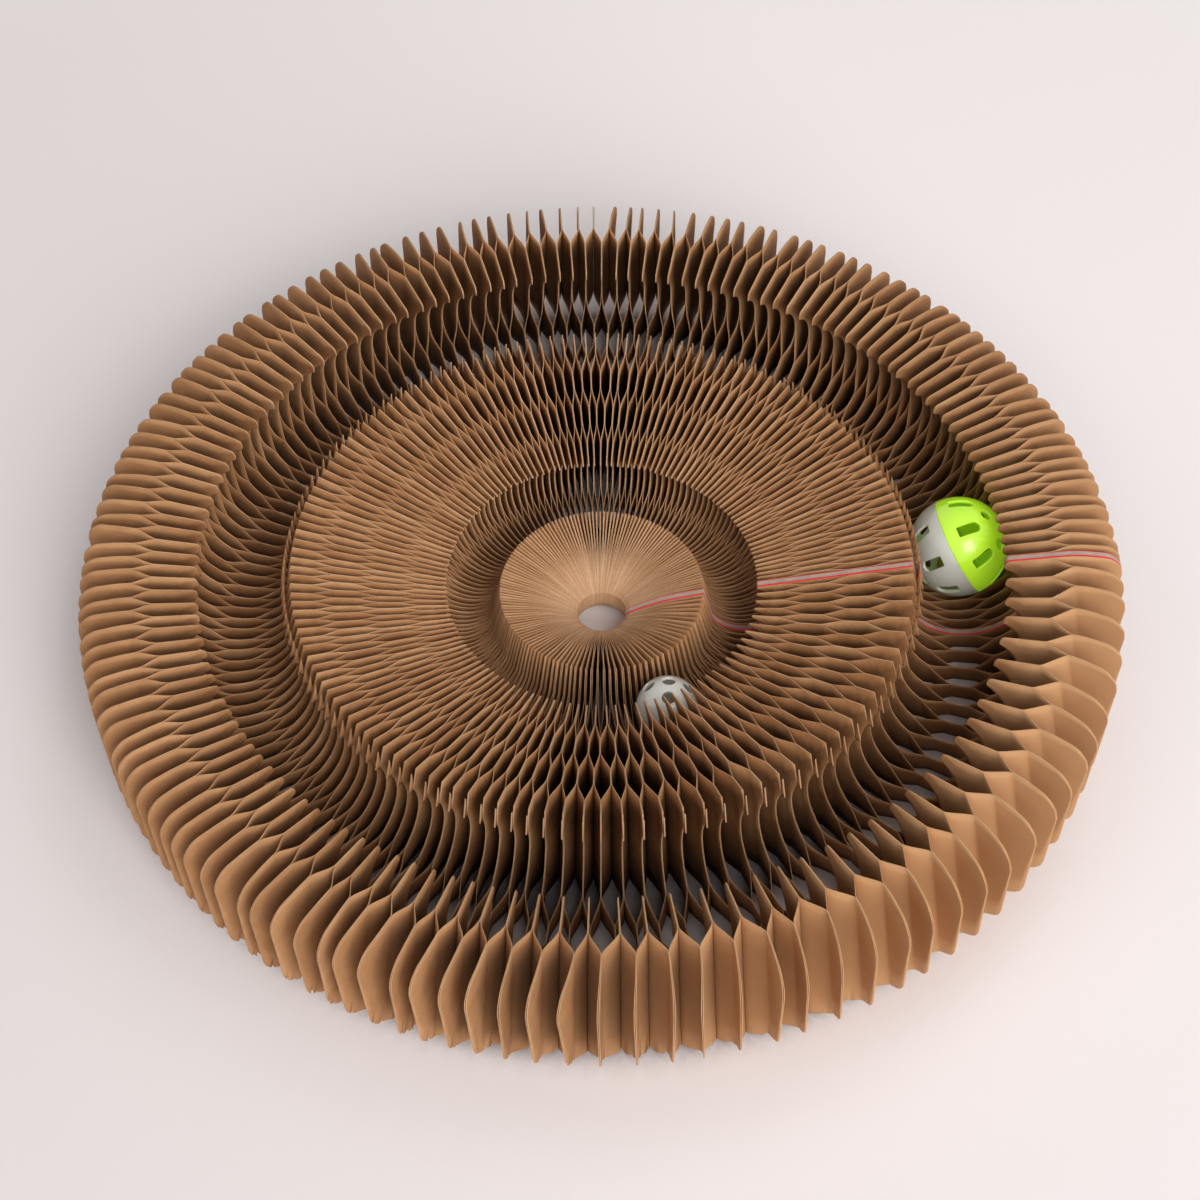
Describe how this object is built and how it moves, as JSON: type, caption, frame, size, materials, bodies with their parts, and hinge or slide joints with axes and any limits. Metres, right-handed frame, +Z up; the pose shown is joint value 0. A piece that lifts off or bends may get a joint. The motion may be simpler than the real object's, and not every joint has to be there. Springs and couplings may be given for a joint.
{
  "type": "cat scratching board",
  "caption": "Accordion cat scratching ring of honeycomb kraft paper that folds to a flat stack, with two sunken tracks holding a large and a small rattle ball.",
  "frame": {"origin": "on the table under the centre of the ring", "axes": "+Z up out of the table, +X along the seam between the two end boards"},
  "size_m": [0.52, 0.5202, 0.0764],
  "materials": {
    "kraft_paper": "uncoated brown kraft paper with pale cut edges",
    "grey_board": "grey-white solid board",
    "red_lining": "red lining paper",
    "green_plastic": "glossy fluorescent yellow-green, slightly translucent",
    "white_plastic": "glossy white",
    "brass": "pressed sheet brass",
    "steel": "plain steel shot"
  },
  "bodies": {
    "end_a": {"board_a": "grey_board", "lining_a": "red_lining", "pleat_01": "kraft_paper"},
    "leaf_01": {"guide_01": "kraft_paper", "pleat_02": "kraft_paper"},
    "leaf_02": {"guide_02": "kraft_paper", "pleat_03": "kraft_paper"},
    "leaf_03": {"guide_03": "kraft_paper", "pleat_04": "kraft_paper"},
    "leaf_04": {"guide_04": "kraft_paper", "pleat_05": "kraft_paper"},
    "leaf_05": {"guide_05": "kraft_paper", "pleat_06": "kraft_paper"},
    "leaf_06": {"guide_06": "kraft_paper", "pleat_07": "kraft_paper"},
    "leaf_07": {"guide_07": "kraft_paper", "pleat_08": "kraft_paper"},
    "leaf_08": {"guide_08": "kraft_paper", "pleat_09": "kraft_paper"},
    "leaf_09": {"guide_09": "kraft_paper", "pleat_10": "kraft_paper"},
    "leaf_10": {"guide_10": "kraft_paper", "pleat_11": "kraft_paper"},
    "leaf_11": {"guide_11": "kraft_paper", "pleat_12": "kraft_paper"},
    "leaf_12": {"guide_12": "kraft_paper", "pleat_13": "kraft_paper"},
    "leaf_13": {"guide_13": "kraft_paper", "pleat_14": "kraft_paper"},
    "leaf_14": {"guide_14": "kraft_paper", "pleat_15": "kraft_paper"},
    "leaf_15": {"guide_15": "kraft_paper", "pleat_16": "kraft_paper"},
    "end_b": {"lining_b": "red_lining", "board_b": "grey_board"},
    "large_bell": {"large_bell": "brass", "large_pellet": "steel"},
    "large_ball": {"large_ball_green": "green_plastic", "large_ball_white": "white_plastic"},
    "small_bell": {"small_bell": "brass", "small_pellet": "steel"},
    "small_ball": {"small_ball_top": "white_plastic", "small_ball_base": "white_plastic"}
  },
  "joints": [
    {"name": "fold_01", "type": "hinge", "parent": "end_a", "child": "leaf_01", "pos_m": [0.01215, -0.00292, 0], "axis": [0, 0, 1], "range_deg": [0, 25.62], "deforming": ["pleat_01"]},
    {"name": "fold_02", "type": "hinge", "parent": "leaf_01", "child": "leaf_02", "pos_m": [0.00952, -0.0081, 0], "axis": [0, 0, 1], "range_deg": [0, 25.46], "deforming": ["pleat_02"]},
    {"name": "fold_03", "type": "hinge", "parent": "leaf_02", "child": "leaf_03", "pos_m": [0.00488, -0.01151, 0], "axis": [0, 0, 1], "range_deg": [0, 25.14], "deforming": ["pleat_03"]},
    {"name": "fold_04", "type": "hinge", "parent": "leaf_03", "child": "leaf_04", "pos_m": [-0.0007, -0.01248, 0], "axis": [0, 0, 1], "range_deg": [0, 24.67], "deforming": ["pleat_04"]},
    {"name": "fold_05", "type": "hinge", "parent": "leaf_04", "child": "leaf_05", "pos_m": [-0.00604, -0.01094, 0], "axis": [0, 0, 1], "range_deg": [0, 24.08], "deforming": ["pleat_05"]},
    {"name": "fold_06", "type": "hinge", "parent": "leaf_05", "child": "leaf_06", "pos_m": [-0.01009, -0.00737, 0], "axis": [0, 0, 1], "range_deg": [0, 23.39], "deforming": ["pleat_06"]},
    {"name": "fold_07", "type": "hinge", "parent": "leaf_06", "child": "leaf_07", "pos_m": [-0.01223, -0.00258, 0], "axis": [0, 0, 1], "range_deg": [0, 22.61], "deforming": ["pleat_07"]},
    {"name": "fold_08", "type": "hinge", "parent": "leaf_07", "child": "leaf_08", "pos_m": [-0.01225, 0.00248, 0], "axis": [0, 0, 1], "range_deg": [0, 21.79], "deforming": ["pleat_08"]},
    {"name": "fold_09", "type": "hinge", "parent": "leaf_08", "child": "leaf_09", "pos_m": [-0.01037, 0.00698, 0], "axis": [0, 0, 1], "range_deg": [0, 20.96], "deforming": ["pleat_09"]},
    {"name": "fold_10", "type": "hinge", "parent": "leaf_09", "child": "leaf_10", "pos_m": [-0.00707, 0.01031, 0], "axis": [0, 0, 1], "range_deg": [0, 20.14], "deforming": ["pleat_10"]},
    {"name": "fold_11", "type": "hinge", "parent": "leaf_10", "child": "leaf_11", "pos_m": [-0.00295, 0.01215, 0], "axis": [0, 0, 1], "range_deg": [0, 19.36], "deforming": ["pleat_11"]},
    {"name": "fold_12", "type": "hinge", "parent": "leaf_11", "child": "leaf_12", "pos_m": [0.00139, 0.01242, 0], "axis": [0, 0, 1], "range_deg": [0, 18.67], "deforming": ["pleat_12"]},
    {"name": "fold_13", "type": "hinge", "parent": "leaf_12", "child": "leaf_13", "pos_m": [0.00543, 0.01126, 0], "axis": [0, 0, 1], "range_deg": [0, 18.08], "deforming": ["pleat_13"]},
    {"name": "fold_14", "type": "hinge", "parent": "leaf_13", "child": "leaf_14", "pos_m": [0.00876, 0.00891, 0], "axis": [0, 0, 1], "range_deg": [0, 17.61], "deforming": ["pleat_14"]},
    {"name": "fold_15", "type": "hinge", "parent": "leaf_14", "child": "leaf_15", "pos_m": [0.01112, 0.0057, 0], "axis": [0, 0, 1], "range_deg": [0, 17.29], "deforming": ["pleat_15"]},
    {"name": "fold_16", "type": "hinge", "parent": "leaf_15", "child": "end_b", "pos_m": [0.01235, 0.00196, 0], "axis": [0, 0, 1], "range_deg": [0, 17.13], "deforming": ["pleat_16"]},
    {"name": "large_roll", "type": "hinge", "parent": "end_b", "child": "large_bell", "pos_m": [0, 0, 0], "axis": [0, 0, 1], "continuous": true},
    {"name": "large_spin", "type": "hinge", "parent": "large_bell", "child": "large_ball", "pos_m": [0.18484, 0.03593, 0.0363], "axis": [0.9816, 0.1908, 0], "continuous": true},
    {"name": "small_roll", "type": "hinge", "parent": "leaf_02", "child": "small_bell", "pos_m": [0, 0, 0], "axis": [0, 0, 1], "continuous": true},
    {"name": "small_spin", "type": "hinge", "parent": "small_bell", "child": "small_ball", "pos_m": [0.03579, -0.06511, 0.0238], "axis": [0.4818, -0.8763, 0], "continuous": true}
  ],
  "couplings": [
    {"joint": "fold_02", "follows": "fold_01", "ratio": 0.99362},
    {"joint": "fold_03", "follows": "fold_01", "ratio": 0.98113},
    {"joint": "fold_04", "follows": "fold_01", "ratio": 0.96299},
    {"joint": "fold_05", "follows": "fold_01", "ratio": 0.93989},
    {"joint": "fold_06", "follows": "fold_01", "ratio": 0.91274},
    {"joint": "fold_07", "follows": "fold_01", "ratio": 0.88257},
    {"joint": "fold_08", "follows": "fold_01", "ratio": 0.85055},
    {"joint": "fold_09", "follows": "fold_01", "ratio": 0.81789},
    {"joint": "fold_10", "follows": "fold_01", "ratio": 0.78586},
    {"joint": "fold_11", "follows": "fold_01", "ratio": 0.7557},
    {"joint": "fold_12", "follows": "fold_01", "ratio": 0.72854},
    {"joint": "fold_13", "follows": "fold_01", "ratio": 0.70545},
    {"joint": "fold_14", "follows": "fold_01", "ratio": 0.68731},
    {"joint": "fold_15", "follows": "fold_01", "ratio": 0.67482},
    {"joint": "fold_16", "follows": "fold_01", "ratio": 0.66844},
    {"joint": "large_spin", "follows": "large_roll", "ratio": -7.2423},
    {"joint": "small_spin", "follows": "small_roll", "ratio": -4.6437}
  ]
}
